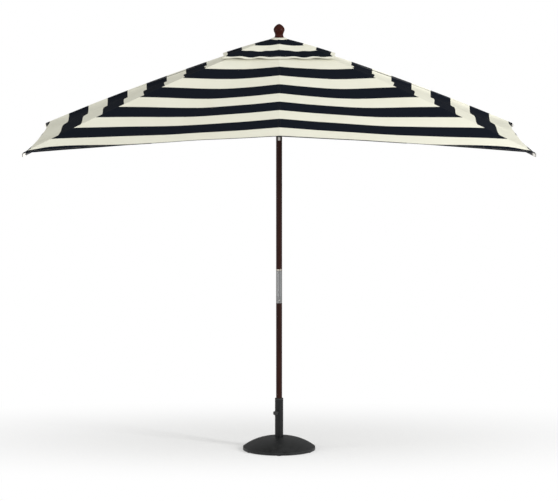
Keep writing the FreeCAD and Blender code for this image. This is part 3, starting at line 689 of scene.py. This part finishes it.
def cap_gusset(number):
    """The cloth over the hub on both sides of one rib."""
    rib, before, after = RIBS[number], GORES[number - 1], GORES[number]

    def split(u, v):
        share = GUSSET_SHARE * v
        return (before, 0.5 + u, share) if u < 0.5 else (after, u - 0.5, share)

    def place(u, v):
        gore, w, share = split(u, v)
        return gore.cap_point(w, share)

    def values(u, v):
        gore, w, share = split(u, v)
        return gore.cap_values(w, share)

    origin, start = rib.cap(CAP_ANCHOR), rib.cap(CROWN_RADIUS)
    axes = (origin, rib.axis, (start - origin).normalized())
    name = "cap_gusset_" + rib.name
    made = cloth_piece(name, GUSSET_COLUMNS, GUSSET_ROWS, place, values, axes)
    finish_cloth(*made, CAP_CANVAS, ["top_hub"])
    piece = made[0]
    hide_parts("vent_" + rib.name)
    end = rib.cap(rib.cap_reach(GUSSET_SHARE))
    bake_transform(piece)
    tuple(start)


def build_cloth():
    for gore in GORES:
        for own in (0, 1):
            half_gore(gore, own)
            cap_half(gore, own)
    for number in range(len(RIBS)):
        cap_gusset(number)


# ---- the camera, the floor and the light ----

def add_camera():
    data = bpy.data.cameras.new("camera")
    data.sensor_width, data.lens, data.clip_end = SENSOR, LENS, FAR_CLIP
    camera = bpy.data.objects.new("camera", data)
    camera.location = CAMERA_PLACE
    camera.rotation_euler = (math.pi / 2 - CAMERA_DIP, 0, 0)
    bpy.context.scene.collection.objects.link(camera)
    bpy.context.scene.camera = camera


def floor_paint():
    """Pale paint that glows white, except in a stretched patch round the base where the glow fades out: a painted
    shadow, in which the matt paint also takes the lamps' own soft shadows.
    """
    paint = Paint("floor_paint", Roughness=0.9, Specular_IOR_Level=0.1)
    paint.set(Base_Color=(0.86, 0.86, 0.86, 1.0))
    glow = paint.node("ShaderNodeEmission", inputs={0: (1, 1, 1, 1), 1: 1.0})
    stretched = paint.coords(SHADOW_STRETCH)
    inputs = {0: stretched, 1: SHADOW_MIDDLE}
    place = paint.node("ShaderNodeVectorMath", {"operation": "SUBTRACT"}, inputs)
    far = paint.node("ShaderNodeVectorMath", {"operation": "LENGTH"}, {0: place}, 1)
    share = paint.fit(far, SHADOW_START, SHADOW_END, SHADOW_GLOW, 1.0, True)
    matt = Value(paint, paint.shader.outputs[0])
    mixed = paint.node("ShaderNodeMixShader", inputs={0: share, 1: matt, 2: glow})
    output = next(n for n in paint.tree.nodes if n.type == "OUTPUT_MATERIAL")
    paint.feed(output.inputs[0], mixed)
    return paint.material


def add_floor():
    bm = bmesh.new()
    bmesh.ops.create_grid(bm, x_segments=1, y_segments=1, size=FLOOR_SIZE)
    mesh = bpy.data.meshes.new("floor")
    bm.to_mesh(mesh)
    bm.free()
    floor = bpy.data.objects.new("floor", mesh)
    bpy.context.scene.collection.objects.link(floor)
    mesh.materials.append(floor_paint())


def area_light(name, place, size, power, aim=(0, 0, 1.5)):
    data = bpy.data.lights.new(name, "AREA")
    data.shape = "RECTANGLE"
    data.size, data.size_y = size
    data.energy = power
    light = bpy.data.objects.new(name, data)
    light.location = place
    light.rotation_euler = (Vector(aim) - Vector(place)).to_track_quat("-Z", "Y").to_euler()
    bpy.context.scene.collection.objects.link(light)


class Sky(Paint):
    """The world's own shader, built with the same calls as a material."""

    def __init__(self):
        world = bpy.data.worlds.new("studio")
        world.use_nodes = True
        bpy.context.scene.world = world
        self.tree = world.node_tree
        self.shader = self.tree.nodes["Background"]


def add_light():
    sky = Sky()
    split = sky.node("ShaderNodeSeparateXYZ", inputs={0: sky.node("ShaderNodeTexCoord")})
    forward, up = (Value(sky, split.socket.node.outputs[n]) for n in (1, 2))
    above = up.math("MAXIMUM", 0.0) * SKY_TOP
    front = (forward * -1).math("MAXIMUM", 0.0) * SKY_FRONT
    seen = sky.node("ShaderNodeLightPath")
    strength = sky.node("ShaderNodeMix", inputs={0: seen, 2: SKY_LEVEL + above + front, 3: 1.0})
    sky.set(Color=(1, 1, 1, 1), Strength=strength)
    bpy.context.scene.view_settings.view_transform = "Standard"
    area_light("key", (8.5, -6.0, 4.5), (2.0, 4.0), KEY)
    area_light("fill", (-9.0, -3.0, 3.2), (3.0, 4.0), FILL)
    area_light("low", (-2.6, -3.6, 0.9), (1.2, 0.8), LOW, aim=(0, 0, 0.1))


add_camera()
add_floor()
add_light()
finish_cad_nodes()
build_cloth()
